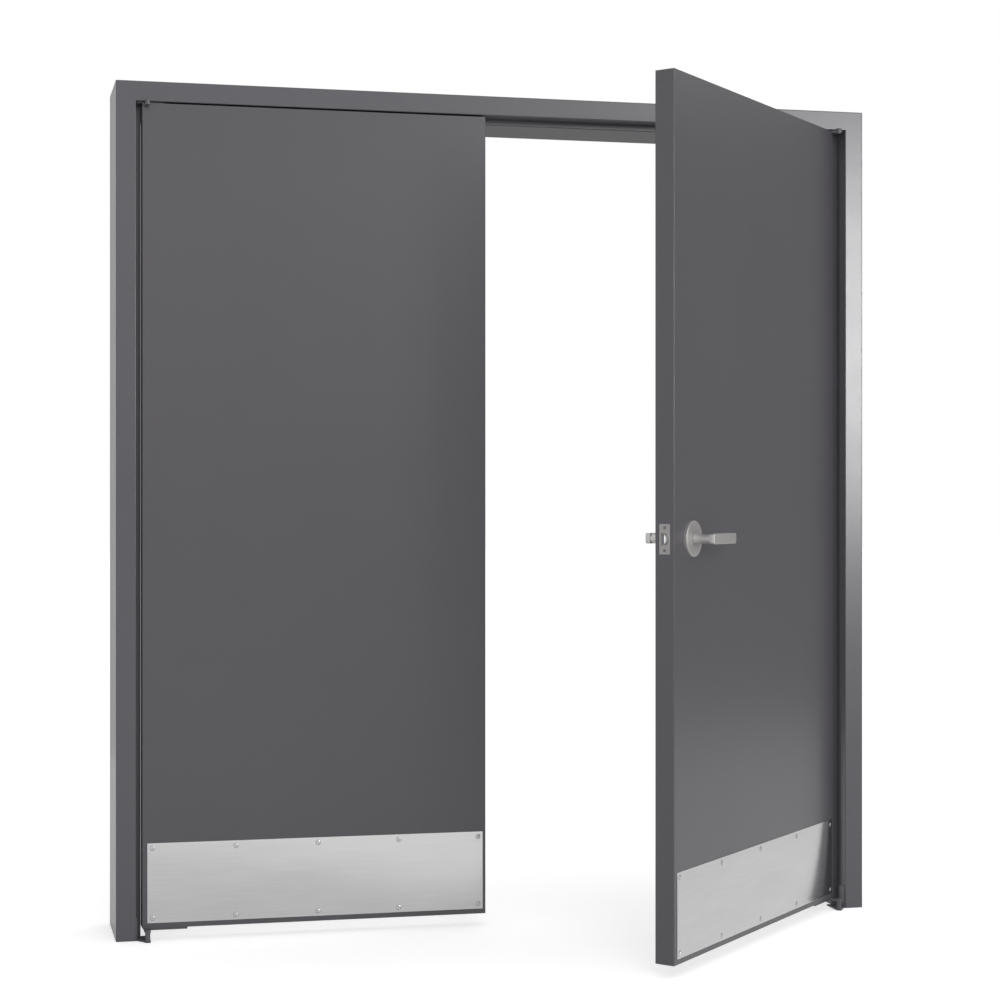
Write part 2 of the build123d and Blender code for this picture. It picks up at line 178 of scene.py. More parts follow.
def leaf_matrix(side):
    """From a shut left-hand leaf to the leaf as it stands. The right one is mirrored about the
    middle of the opening, x to twice the middle less x, and swung open about its pivot."""
    if side == "left":
        return np.eye(4)
    low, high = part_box("frame_head")
    mirror = np.diag([-1.0, 1.0, 1.0, 1.0])
    mirror[0, 3] = low.x + high.x
    swing = JOINTS["right_swing"]
    return turn_about(swing["pos_m"], -math.radians(swing["range_deg"][0])) @ mirror


def node_points(node):
    """The corners of a CAD node as one array."""
    vertices = frame["nodes"][node].data.vertices
    points = np.empty(3 * len(vertices), np.float32)
    vertices.foreach_get("co", points)
    return points.reshape(-1, 3).astype(float)


def node_box(node, seat):
    """Lowest and highest corners of a node along the axes of a seat."""
    inverse = np.linalg.inv(seat)
    local = node_points(node) @ inverse[:3, :3].T + inverse[:3, 3]
    return local.min(0), local.max(0)


def seat_of(across, up, out, origin):
    """A seat, which carries a piece drawn flat to its place: three axes and an origin as columns."""
    seat = np.eye(4)
    seat[:3, 0] = across
    seat[:3, 1] = up
    seat[:3, 2] = out
    seat[:3, 3] = origin
    return seat


def face_seat(side, face):
    """On a leaf's face: x along the leaf, y up, z out of the face."""
    low, high = node_box(f"{side}_pull_sheet", leaf_matrix(side))
    out, surface = (-1, low[1]) if face == "pull" else (1, high[1])
    return leaf_matrix(side) @ seat_of((1, 0, 0), (0, 0, 1), (0, out, 0), (0, surface, 0))


def edge_seat(side):
    """On a leaf's bevelled lock edge: x across the edge, y up from lever height, z outwards."""
    low, high = node_box(f"{side}_pull_sheet", leaf_matrix(side))
    slant = math.atan(EDGE_BEVEL)
    height = JOINTS["lever_turn"]["pos_m"][2]
    seat = seat_of((-math.sin(slant), math.cos(slant), 0), (0, 0, 1),
                   (math.cos(slant), math.sin(slant), 0), (0, (low[1] + high[1]) / 2, height))
    return leaf_matrix(side) @ seat


def lever_axis(seat):
    """Where the levers' axis meets a face, in the face's own x and y."""
    local = np.linalg.inv(seat) @ np.append(JOINTS["lever_turn"]["pos_m"], 1.0)
    return local[:2]


# Surfaces

def ring_outline(radius, inset):
    """Circles, one row for each inset: the radius less the inset, along each angle's direction."""
    angle = np.linspace(0, 2 * math.pi, CIRCLE_STEPS, endpoint=False)
    reach = radius - np.asarray(inset, float)[:, None]
    return np.stack([reach * np.cos(angle), reach * np.sin(angle)], axis=-1)


def rectangle_outline(width, height, radius, inset):
    """Rectangles with round corners, one row for each inset: each corner's centre stands a corner
    radius in from two sides, and its points are that radius along the quarter's angles."""
    inset = np.asarray(inset, float)[:, None]
    corner = np.maximum(radius - inset, SMALLEST_CORNER)
    angle = (np.linspace(0, math.pi / 2, CORNER_STEPS) + math.pi / 2 * np.arange(4)[:, None]).ravel()
    side_x = np.repeat([1, -1, -1, 1], CORNER_STEPS)
    side_y = np.repeat([1, 1, -1, -1], CORNER_STEPS)
    x = side_x * (width / 2 - inset - corner) + corner * np.cos(angle)
    y = side_y * (height / 2 - inset - corner) + corner * np.sin(angle)
    return np.stack([x, y], axis=-1)


def softened(low, high, radius):
    """Insets and levels up a plate's side: straight up, then a quarter circle inwards, where the
    inset is the radius less its cosine share and the level rises by its sine share."""
    angle = np.linspace(0, math.pi / 2, ARC_STEPS)
    inset = np.concatenate([[0.0], radius * (1 - np.cos(angle))])
    level = np.concatenate([[low], high - radius + radius * np.sin(angle)])
    return inset, level


def ring_faces(rows, columns):
    """Faces of stacked rings: squares between neighbouring rings, then a flat face that closes the
    first ring and one that closes the last."""
    row = np.arange(rows - 1)[:, None] * columns
    here = row + np.arange(columns)
    following = row + (np.arange(columns) + 1) % columns
    squares = np.stack([here, following, following + columns, here + columns], axis=-1)
    last = (rows - 1) * columns
    caps = [list(range(columns - 1, -1, -1)), list(range(last, last + columns))]
    return squares.reshape(-1, 4).tolist() + caps


def shell(outline, level, shift):
    """A closed solid from stacked rings: each ring is its outline, shifted, at its level."""
    rows, columns = outline.shape[:2]
    height = np.broadcast_to(np.asarray(level, float)[:, None, None], (rows, columns, 1))
    points = np.concatenate([outline + np.asarray(shift, float), height], axis=-1)
    return points.reshape(-1, 3), ring_faces(rows, columns)


def slab(low, high, corner, inset, level):
    """A plate between two corners: round-cornered rectangles, one at each level with its inset."""
    outline = rectangle_outline(high[0] - low[0], high[1] - low[1], corner, inset)
    return shell(outline, level, (low[:2] + high[:2]) / 2)


def joined(*solids):
    """Several solids as one mesh: points in a row, faces counted on from those before."""
    points = np.concatenate([solid[0] for solid in solids])
    faces = []
    start = 0
    for solid in solids:
        faces += [[index + start for index in face] for face in solid[1]]
        start += len(solid[0])
    return points, faces


def piece(name, solid, seat, finish, body, replaces=()):
    """Puts a solid drawn on a seat into the scene, with its place along the seat as its UV, and
    turns its faces round where the seat is a mirrored one."""
    points, faces = solid
    if np.linalg.det(seat[:3, :3]) < 0:
        faces = [face[::-1] for face in faces]
    placed = points @ seat[:3, :3].T + seat[:3, 3]
    mesh = bpy.data.meshes.new(name)
    mesh.from_pydata(placed.tolist(), [], faces)
    corner = np.empty(len(mesh.loops), np.int32)
    mesh.loops.foreach_get("vertex_index", corner)
    mesh.uv_layers.new(name="place").uv.foreach_set("vector", points[corner, :2].ravel())
    mesh.shade_smooth()
    mesh.set_sharp_from_angle(angle=SMOOTH_BELOW)
    mesh.materials.append(finish)
    thing = bpy.data.objects.new(name, mesh)
    bpy.context.scene.collection.objects.link(thing)
    if replaces:
        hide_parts(*replaces)
    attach(thing, body)
    return thing


# Finishes

def surface_of(material):
    """A material's Principled shader."""
    return material.node_tree.nodes["Principled BSDF"]


def shader(name):
    """A new material, with its node tree and its Principled shader."""
    material = bpy.data.materials.new(name)
    material.use_nodes = True
    return material, material.node_tree, surface_of(material)


def add(tree, kind, **values):
    """A node with some of its inputs set by name."""
    node = tree.nodes.new(kind)
    for key, value in values.items():
        node.inputs[key.replace("_", " ").title()].default_value = value
    return node


def scaled(tree, source, scale):
    """Coordinates stretched by a scale along each axis."""
    mapping = add(tree, "ShaderNodeMapping", scale=scale)
    tree.links.new(source, mapping.inputs["Vector"])
    return mapping.outputs["Vector"]


def noise(tree, vector, scale, detail=2.0, roughness=0.5):
    """A noise value over some coordinates."""
    node = add(tree, "ShaderNodeTexNoise", scale=scale, detail=detail, roughness=roughness)
    tree.links.new(vector, node.inputs["Vector"])
    return node.outputs["Fac"]


def between(tree, factor, low, high):
    """A noise value spread from low to high. It mostly lies between the two noise ends."""
    node = add(tree, "ShaderNodeMapRange", from_min=NOISE_LOW, from_max=NOISE_HIGH, to_min=low, to_max=high)
    tree.links.new(factor, node.inputs["Value"])
    return node.outputs["Result"]


def colour_mix(tree, factor):
    """A mix of two colours: its two colour inputs and its colour output."""
    mix = tree.nodes.new("ShaderNodeMix")
    mix.data_type = "RGBA"
    tree.links.new(factor, mix.inputs["Factor"])
    ends = [socket for socket in mix.inputs if socket.type == "RGBA"]
    return ends[0], ends[1], mix.outputs[2]


def tinted(tree, factor, colour, spread):
    """A colour that lightens and darkens by a share of itself."""
    darker, lighter, result = colour_mix(tree, factor)
    darker.default_value = [c * (1 - spread) for c in colour] + [1]
    lighter.default_value = [c * (1 + spread) for c in colour] + [1]
    return result


def uneven_gloss(tree, surface, value, roughness, spread):
    """Roughness that runs with a noise value from a spread below its middle to a spread above."""
    gloss = between(tree, value, roughness - spread, roughness + spread)
    tree.links.new(gloss, surface.inputs["Roughness"])


def bump(tree, height, strength, depth):
    """A surface raised by a height value."""
    node = add(tree, "ShaderNodeBump", strength=strength, distance=depth)
    tree.links.new(height, node.inputs["Height"])
    return node.outputs["Normal"]


def enamel(name, colour, settings):
    """Satin enamel: a faintly uneven colour and gloss over a fine orange peel."""
    material, tree, surface = shader(name)
    place = add(tree, "ShaderNodeTexCoord").outputs["Object"]
    cloud = between(tree, noise(tree, place, settings.cloud_scale, ENAMEL_DETAIL), 0, 1)
    tree.links.new(tinted(tree, cloud, colour, settings.cloud), surface.inputs["Base Color"])
    gloss = noise(tree, place, GLOSS_TO_CLOUD * settings.cloud_scale, ENAMEL_DETAIL)
    uneven_gloss(tree, surface, gloss, settings.roughness, settings.roughness_spread)
    peel = noise(tree, place, settings.peel_scale)
    tree.links.new(bump(tree, peel, settings.peel, PEEL_DEPTH), surface.inputs["Normal"])
    surface.inputs["Specular IOR Level"].default_value = settings.specular
    return material


def mixed(tree, first, second, share):
    """Two values mixed: the first, plus a share of the way to the second."""
    mix = tree.nodes.new("ShaderNodeMix")
    mix.inputs["Factor"].default_value = share
    tree.links.new(first, mix.inputs["A"])
    tree.links.new(second, mix.inputs["B"])
    return mix.outputs["Result"]


def streaks(tree, place, length, width):
    """Lines along x: noise drawn out along x to a length and packed along y to a width."""
    drawn = scaled(tree, place, (1 / length, 1 / width, 1))
    return noise(tree, drawn, 1.0, STREAK_DETAIL, STREAK_ROUGHNESS)


def straight_grain(tree):
    """The grain of a sheet brushed along UV's x: hair lines, broader streaks and slow clouds."""
    place = add(tree, "ShaderNodeTexCoord").outputs["UV"]
    hair = streaks(tree, place, *HAIR_LINES)
    broad = streaks(tree, place, *BROAD_STREAKS)
    clouds = streaks(tree, place, *HANDLING_CLOUDS)
    return mixed(tree, mixed(tree, hair, broad, BROAD_SHARE), clouds, CLOUD_SHARE)


def brushed(name, colour, roughness, settings, grain):
    """Brushed steel: its grain is a function of the tree, and colour, gloss and relief follow it."""
    material, tree, surface = shader(name)
    lines = grain(tree)
    shade = between(tree, lines, 0, 1)
    tree.links.new(tinted(tree, shade, colour, settings.grain_shade), surface.inputs["Base Color"])
    uneven_gloss(tree, surface, lines, roughness, STEEL_SPREAD)
    tree.links.new(bump(tree, lines, settings.grain_relief, GRAIN_DEPTH), surface.inputs["Normal"])
    surface.inputs["Metallic"].default_value = 1.0
    return material


def kick_steel(settings):
    """Satin sheet steel, brushed along the leaf, with slow clouds from handling and a gloss that
    the grain draws out."""
    material = brushed("kick_steel", settings.kick_colour, settings.roughness, settings, straight_grain)
    tree = material.node_tree
    surface = surface_of(material)
    tangent = tree.nodes.new("ShaderNodeTangent")
    tangent.direction_type = "UV_MAP"
    tree.links.new(tangent.outputs["Tangent"], surface.inputs["Tangent"])
    surface.inputs["Anisotropic"].default_value = settings.anisotropy
    surface.inputs["Anisotropic Rotation"].default_value = QUARTER_TURN
    return material


def satin_steel(name, colour, settings):
    """Satin steel of the levers, roses and lock plates: a fine level grain, packed along z."""
    def grain(tree):
        place = add(tree, "ShaderNodeTexCoord").outputs["Object"]
        return noise(tree, scaled(tree, place, SATIN_SCALE), 1.0)
    return brushed(name, colour, settings.hardware_roughness, settings, grain)


def plain_metal(name, colour, roughness):
    """A metal with a finely uneven colour and gloss, for screws, bolt and hidden steel."""
    material, tree, surface = shader(name)
    place = add(tree, "ShaderNodeTexCoord").outputs["Object"]
    uneven = noise(tree, place, UNEVEN_SCALE)
    shade = between(tree, uneven, 0, 1)
    tree.links.new(tinted(tree, shade, colour, UNEVEN_SHADE), surface.inputs["Base Color"])
    uneven_gloss(tree, surface, uneven, roughness, STEEL_SPREAD)
    surface.inputs["Metallic"].default_value = 1.0
    return material


def screw_metal(name, colour, roughness):
    """A plain metal painted towards a near-black where a head's painted shade attribute is high: painted
    shade in the groove and recess.
    """
    material = plain_metal(name, colour, roughness)
    tree = material.node_tree
    base = surface_of(material).inputs["Base Color"]
    unshaded = base.links[0].from_socket
    # Painted shade: the head's colour is mixed towards a near-black where the attribute is high.
    painted_shade = tree.nodes.new("ShaderNodeAttribute")
    painted_shade.attribute_name = "painted_shade"
    bright, shaded, result = colour_mix(tree, painted_shade.outputs["Fac"])
    tree.links.new(unshaded, bright)
    shaded.default_value = PAINTED_SHADE_COLOUR
    tree.links.new(result, base)
    return material


def give(finish, nodes):
    """Puts a finish on CAD nodes that keep their own shape."""
    for node in nodes:
        mesh = frame["nodes"][node].data
        mesh.materials.clear()
        mesh.materials.append(finish)


def nodes_with(*words):
    """The CAD nodes whose names hold any of the words."""
    return [node for node in frame["nodes"] if any(word in node for word in words)]


# Settings

class DOOR_paint(bpy.types.PropertyGroup):
    """Enamel of the frame, leaves and pivots"""
    frame_colour: FloatVectorProperty(
        name="Frame colour", description="Enamel of the jambs and head", subtype="COLOR",
        default=(0.099, 0.095, 0.107), min=0, max=1)
    leaf_colour: FloatVectorProperty(
        name="Leaf colour", description="Enamel of both leaves", subtype="COLOR",
        default=(0.087, 0.083, 0.093), min=0, max=1)
    roughness: FloatProperty(name="Roughness", description="How matt the enamel is", default=0.26)
    roughness_spread: FloatProperty(
        name="Roughness spread", description="How uneven the gloss is", default=0.009)
    specular: FloatProperty(name="Specular", description="Strength of the enamel's gloss", default=0.5)
    cloud: FloatProperty(name="Clouds", description="Share by which the colour varies", default=0.02)
    cloud_scale: FloatProperty(name="Cloud scale", description="Clouds to a metre", default=2.5)
    peel: FloatProperty(name="Orange peel", description="Strength of the fine unevenness", default=0.025)
    peel_scale: FloatProperty(name="Peel scale", description="Peel cells to a metre", default=420.0)


class DOOR_steel(bpy.types.PropertyGroup):
    """Steel of the kick plates, latchset and screws"""
    kick_colour: FloatVectorProperty(
        name="Kick plate colour", description="Colour of the kick plates and their screws", subtype="COLOR",
        default=(0.6, 0.6, 0.6), min=0, max=1)
    hardware_colour: FloatVectorProperty(
        name="Hardware colour", description="Colour of the levers and roses", subtype="COLOR",
        default=(0.53, 0.52, 0.515), min=0, max=1)
    # Painted shade: the lock plates are a darker copy of the levers' satin steel, which stands in for the
    # dimmer reflections on the lock edge.
    shaded_plate_colour: FloatVectorProperty(
        name="Lock plate colour", description="Colour of the faceplate and strike", subtype="COLOR",
        default=(0.32, 0.31, 0.305), min=0, max=1)
    bolt_colour: FloatVectorProperty(
        name="Bolt colour", description="Colour of the latch bolt", subtype="COLOR",
        default=(0.95, 0.95, 0.96), min=0, max=1)
    screw_colour: FloatVectorProperty(
        name="Screw colour", description="Colour of the lock plates' and pivots' screws", subtype="COLOR",
        default=(0.2, 0.2, 0.21), min=0, max=1)
    zinc_colour: FloatVectorProperty(
        name="Zinc colour", description="Colour of the plated steel inside", subtype="COLOR",
        default=(0.45, 0.46, 0.48), min=0, max=1)
    roughness: FloatProperty(name="Roughness", description="How matt the kick plates are", default=0.17)
    hardware_roughness: FloatProperty(
        name="Hardware roughness", description="How matt levers, roses and lock plates are", default=0.46)
    anisotropy: FloatProperty(name="Anisotropy", description="How far the gloss is drawn out", default=0.65)
    grain_shade: FloatProperty(
        name="Grain shade", description="Share by which the grain varies", default=0.12)
    grain_relief: FloatProperty(
        name="Grain relief", description="Strength of the grain's relief", default=0.3)


class DOOR_fasteners(bpy.types.PropertyGroup):
    """Sizes and places of the screws"""
    kick_columns: IntProperty(name="Kick plate columns", description="Screws along a kick plate", default=5)
    kick_inset: FloatProperty(
        name="Kick screw inset", description="From a plate's edge to its screws", unit="LENGTH",
        default=13 * MM)
    head_radius: FloatProperty(
        name="Head radius", description="Radius of the kick plates' screws", unit="LENGTH", default=7.0 * MM)
    head_crown: FloatProperty(
        name="Head crown", description="Height of the kick plates' screws", unit="LENGTH", default=1.0 * MM)
    plate_head_radius: FloatProperty(
        name="Plate head radius", description="Radius of the lock plates' and pivots' screws",
        unit="LENGTH", default=4.2 * MM)
    leg_thickness: FloatProperty(
        name="Pivot plate", description="Thickness of the pivots' brackets", unit="LENGTH", default=3 * MM)
    leg_width: FloatProperty(
        name="Pivot leg", description="Width of a floor bracket's leg", unit="LENGTH", default=40 * MM)
    stop_height: FloatProperty(
        name="Stop height", description="From the jamb's rabbet to the top of its stop", unit="LENGTH",
        default=15.9 * MM)
    plate_screw_inset: FloatProperty(
        name="Plate screw inset", description="From the end of a lock plate to its screw", unit="LENGTH",
        default=9 * MM)


class DOOR_trim(bpy.types.PropertyGroup):
    """Sizes of the kick plates, levers and roses"""
    plate_edge: FloatProperty(
        name="Plate edge", description="Softened edge of the kick plates", unit="LENGTH", default=0.5 * MM)
    bar_thickness: FloatProperty(
        name="Lever bar", description="Thickness of a lever's bar", unit="LENGTH", default=13 * MM)
    bar_edge: FloatProperty(
        name="Bar edge", description="Softened edge of a lever's bar", unit="LENGTH", default=1.0 * MM)
    bar_corner: FloatProperty(
        name="Bar corner", description="Corner radius of a lever's bar", unit="LENGTH", default=5 * MM)
    neck_radius: FloatProperty(
        name="Neck", description="Radius of a lever's neck", unit="LENGTH", default=12 * MM)
    rose_edge: FloatProperty(
        name="Rose edge", description="Softened edge of a rose", unit="LENGTH", default=0.9 * MM)


class DOOR_stage(bpy.types.PropertyGroup):
    """Camera, lights, flats and floor"""
    camera_place: FloatVectorProperty(
        name="Camera", description="Where the camera stands", subtype="TRANSLATION", unit="LENGTH",
        default=(-0.3833, -5.4114, 1.1215))
    camera_turn: FloatProperty(
        name="Camera turn", description="How far the level camera turns", subtype="ANGLE",
        default=math.radians(-12.743))
    lens: FloatProperty(name="Lens", description="Focal length in millimetres", default=74.53)
    shift_x: FloatProperty(name="Shift X", description="Sideways lens shift", default=0.0608)
    shift_y: FloatProperty(name="Shift Y", description="Upward lens shift", default=-0.0007)
    ambient_left: FloatProperty(
        name="Left ambient", description="World light from the left", default=0.3)
    ambient_right: FloatProperty(
        name="Right ambient", description="World light from the right", default=1.0)
    left_flat: FloatProperty(
        name="Left flat", description="Brightness of the flat behind the left jamb", default=0.7)
    right_flat: FloatProperty(
        name="Right flats", description="Brightness of the flats on the right", default=0.32)
    dark_flat: FloatProperty(
        name="Dark flat", description="Brightness of the flat behind the opening", default=0.05)
    key_power: FloatProperty(name="Key", description="Power of the soft front lamp", default=120.0)
    key_place: FloatVectorProperty(
        name="Key place", description="Where the front lamp stands", subtype="TRANSLATION",
        unit="LENGTH", default=(0.9, -7.0, 3.0))
    softbox_power: FloatProperty(name="Softbox", description="Power of the right softbox", default=160.0)
    softbox_place: FloatVectorProperty(
        name="Softbox place", description="Where the right softbox stands", subtype="TRANSLATION",
        unit="LENGTH", default=(4.3, -5.45, 2.0))
    high_power: FloatProperty(
        name="High softbox", description="Power of the wide high softbox", default=20.0)
    high_place: FloatVectorProperty(
        name="High softbox place", description="Where the high softbox stands", subtype="TRANSLATION",
        unit="LENGTH", default=(3.6, -5.45, 3.25))
    floor_colour: FloatVectorProperty(
        name="Floor colour", description="Pale floor", subtype="COLOR", default=(0.8, 0.8, 0.8), min=0, max=1)
    floor_glow: FloatProperty(
        name="Floor glow", description="Light added where the camera sees the floor", default=0.56)
    floor_sheen: FloatProperty(
        name="Floor sheen", description="Light added where a gloss shows the floor", default=0.3)


# Pieces

class DOOR_OT_paint(bpy.types.Operator):
    """Gives the frame, leaves and pivots their enamel, and hidden steel its zinc"""
    bl_idname = "door.paint"
    bl_label = "Enamel"

    def execute(self, context):
        paint = context.scene.door_paint
        steel = context.scene.door_steel
        give(enamel("frame_enamel", paint.frame_colour, paint), nodes_with("jamb", "head"))
        give(enamel("leaf_enamel", paint.leaf_colour, paint), nodes_with("sheet", "channel"))
        give(enamel("pivot_enamel", paint.frame_colour, paint), nodes_with("pivot"))
        zinc = plain_metal("zinc_plate", steel.zinc_colour, ZINC_ROUGHNESS)
        give(zinc, nodes_with("anchor", "case", "lock_body", "spindle", "strike_box"))
        return {"FINISHED"}


def kick_plate_solid(node, seat, edge):
    """A kick plate as large as its node, with softened front edges."""
    low, high = node_box(node, seat)
    inset, level = softened(low[2], high[2], edge)
    return slab(low, high, KICK_PLATE_CORNER, inset, level)


class DOOR_OT_kick_plates(bpy.types.Operator):
    """Makes the four brushed kick plates"""
    bl_idname = "door.kick_plates"
    bl_label = "Kick plates"

    def execute(self, context):
        finish = kick_steel(context.scene.door_steel)
        for side in LEAVES:
            for face in FACES:
                node = f"{side}_{face}_kick_plate"
                seat = face_seat(side, face)
                solid = kick_plate_solid(node, seat, context.scene.door_trim.plate_edge)
                piece(f"{node}_sheet", solid, seat, finish, f"{side}_leaf", [node])
        return {"FINISHED"}


def ramp(value, reach):
    """One in the middle, falling evenly to nothing at a reach on either side."""
    return np.clip((reach - np.abs(value)) / RECESS_SLOPE, 0, 1)


def cross_recess(x, y, turn):
    """A cross turned by an angle: the larger of two crossed bars, each a product of two ramps across
    and along the bar."""
    along = x * math.cos(turn) + y * math.sin(turn)
    across = y * math.cos(turn) - x * math.sin(turn)
    return np.maximum(ramp(along, RECESS_WIDTH) * ramp(across, RECESS_LENGTH),
                      ramp(across, RECESS_WIDTH) * ramp(along, RECESS_LENGTH))


def oval_head(radius, crown, level, shift, turn):
    """An oval screw head with a cross recess, as points, faces and painted shade. Over a disc the height is
    the crown times one less the radius squared, less a fine groove near the rim, which is a bell
    curve of the radius, less the recess. Painted shade, a darkening that stands in for the shade in
    the groove and recess, is a share of the groove plus a share of the recess."""
    share = np.concatenate([RIM_RINGS, INNER_RINGS])[:, None]
    angle = np.linspace(0, 2 * math.pi, HEAD_STEPS, endpoint=False)[None, :]
    x = share * np.cos(angle)
    y = share * np.sin(angle)
    recess = cross_recess(x, y, turn)
    groove = np.exp(-((share - GROOVE_PLACE) / GROOVE_WIDTH) ** 2) * np.ones_like(x)
    height = crown * (1 - share ** 2) - GROOVE_DEPTH * crown * groove - RECESS_DEPTH * crown * recess
    top = np.stack([radius * x + shift[0], radius * y + shift[1], level + height], axis=-1)
    foot = top[:1].copy()
    foot[..., 2] = level - HEAD_FOOT
    points = np.concatenate([foot, top])
    # Painted shade: darker in the groove and the recess, standing in for the shade that falls there.
    painted_shade = np.clip(GROOVE_PAINTED_SHADE * groove + RECESS_PAINTED_SHADE * recess, 0, 1)
    painted_shade = np.concatenate([painted_shade[:1], painted_shade])
    return points.reshape(-1, 3), ring_faces(*points.shape[:2]), painted_shade.ravel()


def screws(name, heads, seat, finish, body):
    """Several screw heads as one piece, with their painted shade as an attribute."""
    thing = piece(name, joined(*heads), seat, finish, body)
    painted_shade = thing.data.attributes.new("painted_shade", "FLOAT", "POINT")
    painted_shade.data.foreach_set("value", np.concatenate([head[2] for head in heads]))


class DOOR_OT_kick_screws(bpy.types.Operator):
    """Sets two rows of oval-headed screws in each kick plate"""
    bl_idname = "door.kick_screws"
    bl_label = "Kick plate screws"

    def execute(self, context):
        sizes = context.scene.door_fasteners
        finish = screw_metal("screw_steel", context.scene.door_steel.kick_colour, KICK_SCREW_ROUGHNESS)
        for side in LEAVES:
            for face in FACES:
                seat = face_seat(side, face)
                low, high = node_box(f"{side}_{face}_kick_plate", seat)
                first, last = low + sizes.kick_inset, high - sizes.kick_inset
                columns = np.linspace(first[0], last[0], sizes.kick_columns)
                places = [(x, y) for y in (first[1], last[1]) for x in columns]
                heads = [
                    oval_head(sizes.head_radius, sizes.head_crown, high[2], place, KICK_SCREW_TURN * number)
                    for number, place in enumerate(places)
                ]
                screws(f"{side}_{face}_kick_screws", heads, seat, finish, f"{side}_leaf")
        return {"FINISHED"}


def rose_solid(node, seat, edge, bore):
    """A round trim plate: rings stacked up the side and over the softened edge, then in across a
    face that dishes by a hair to the neck's hole, where the radius is the bore's."""
    low, high = node_box(node, seat)
    radius = (high[0] - low[0]) / 2
    inset, level = softened(low[2], high[2], edge)
    inset = np.append(inset, radius - bore - ROSE_RING_REACHES)
    level = np.append(level, high[2] - ROSE_RING_DROPS)
    return shell(ring_outline(radius, inset), level, (low[:2] + high[:2]) / 2)


class DOOR_OT_roses(bpy.types.Operator):
    """Makes the round roses on both faces of the right leaf"""
    bl_idname = "door.roses"
    bl_label = "Roses"

    def execute(self, context):
        trim = context.scene.door_trim
        steel = context.scene.door_steel
        finish = satin_steel("rose_steel", steel.hardware_colour, steel)
        for face in FACES:
            seat = face_seat("right", face)
            solid = rose_solid(f"{face}_rose", seat, trim.rose_edge, trim.neck_radius + ROSE_CLEARANCE)
            piece(f"{face}_rose_disc", solid, seat, finish, "right_leaf",
                  [f"{face}_rose"])
        return {"FINISHED"}


def neck_solid(radius, low, high, shift):
    """A round neck that waists by a hair: its radius loses the waist times the sine of half a turn
    over its height."""
    share = np.linspace(0, 1, NECK_STEPS)
    waist = NECK_WAIST * np.sin(math.pi * share)
    return shell(ring_outline(radius, waist), low + share * (high - low), shift)


def bar_solid(low, high, thickness, corner, edge):
    """A flat bar between two corners, softened at its front and back edges."""
    inset, level = softened(0, thickness / 2, edge)
    inset = np.concatenate([inset[:0:-1], inset[1:]])
    level = np.concatenate([-level[:0:-1], level[1:]]) + high[2] - thickness / 2
    return slab(low, high, corner, inset, level)


class DOOR_OT_levers(bpy.types.Operator):
    """Makes the two levers: a round neck and a flat bar with softened edges"""
    bl_idname = "door.levers"
    bl_label = "Levers"

    def execute(self, context):
        trim = context.scene.door_trim
        steel = context.scene.door_steel
        finish = satin_steel("lever_steel", steel.hardware_colour, steel)
        for face in FACES:
            seat = face_seat("right", face)
            low, high = node_box(f"{face}_lever", seat)
            back = high[2] - trim.bar_thickness
            neck = neck_solid(trim.neck_radius, low[2], back + trim.bar_edge, lever_axis(seat))
            bar = bar_solid(low, high, trim.bar_thickness, trim.bar_corner, trim.bar_edge)
            piece(f"{face}_lever_bar", joined(neck, bar), seat, finish, "levers",
                  [f"{face}_lever"])
        return {"FINISHED"}


class DOOR_OT_latch(bpy.types.Operator):
    """Finishes the latch and strike, and sets the screws of their plates"""
    bl_idname = "door.latch"
    bl_label = "Latch and strike"

    def execute(self, context):
        steel = context.scene.door_steel
        sizes = context.scene.door_fasteners
        # Painted shade: the faceplate and strike take the darker copy of the satin steel in place of the lock
        # edge's dimmer reflections.
        finish = satin_steel("shaded_lock_plate_steel", steel.shaded_plate_colour, steel)
        give(finish, ["latch_faceplate", "strike_plate"])
        give(plain_metal("bolt_steel", steel.bolt_colour, BOLT_ROUGHNESS), ["latch_bolt"])
        screw = screw_metal("plate_screw_steel", steel.screw_colour, PLATE_SCREW_ROUGHNESS)
        for side, node in (("right", "latch_faceplate"), ("left", "strike_plate")):
            seat = edge_seat(side)
            low, high = node_box(node, seat)
            rows = (low[1] + sizes.plate_screw_inset, high[1] - sizes.plate_screw_inset)
            middle = (low[0] + high[0]) / 2
            heads = [
                oval_head(sizes.plate_head_radius, PLATE_SCREW_CROWN, high[2], (middle, y),
                          PLATE_SCREW_TURN * y)
                for y in rows
            ]
            screws(f"{node}_screws", heads, seat, screw, f"{side}_leaf")
        return {"FINISHED"}


def floor_bracket_heads(side, out, sizes):
    """Two screws, one above the other, in the leg of a floor bracket on the jamb's rabbet. Out is 1
    where the leg faces right and -1 where it faces left."""
    high = np.array(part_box(f"{side}_bottom_pivot_bracket")[1])
    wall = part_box(f"{side}_jamb")[1 if side == "left" else 0].x - out * sizes.stop_height
    seat = seat_of((0, out, 0), (0, 0, 1), (out, 0, 0), (wall, 0, 0))
    middle = out * (high[1] - sizes.leg_width / 2)
    heads = [
        oval_head(sizes.plate_head_radius, PIVOT_SCREW_CROWN, sizes.leg_thickness, (middle, z),
                  FLOOR_SCREW_TURN * z)
        for z in high[2] - FLOOR_SCREW_DROPS
    ]
    return heads, seat


def head_bracket_heads(side, sizes):
    """Two screws, side by side, that point up through a head bracket's plate."""
    low, high = (np.array(corner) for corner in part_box(f"{side}_top_pivot_bracket"))
    seat = seat_of((1, 0, 0), (0, -1, 0), (0, 0, -1), (0, 0, high[2] - sizes.leg_thickness))
    heads = [
        oval_head(sizes.plate_head_radius, PIVOT_SCREW_CROWN, 0.0, (x, HEAD_SCREW_INSET - high[1]),
                  HEAD_SCREW_TURN * x)
        for x in low[0] + HEAD_SCREW_SHARES[side] * (high[0] - low[0])
    ]
    return heads, seat


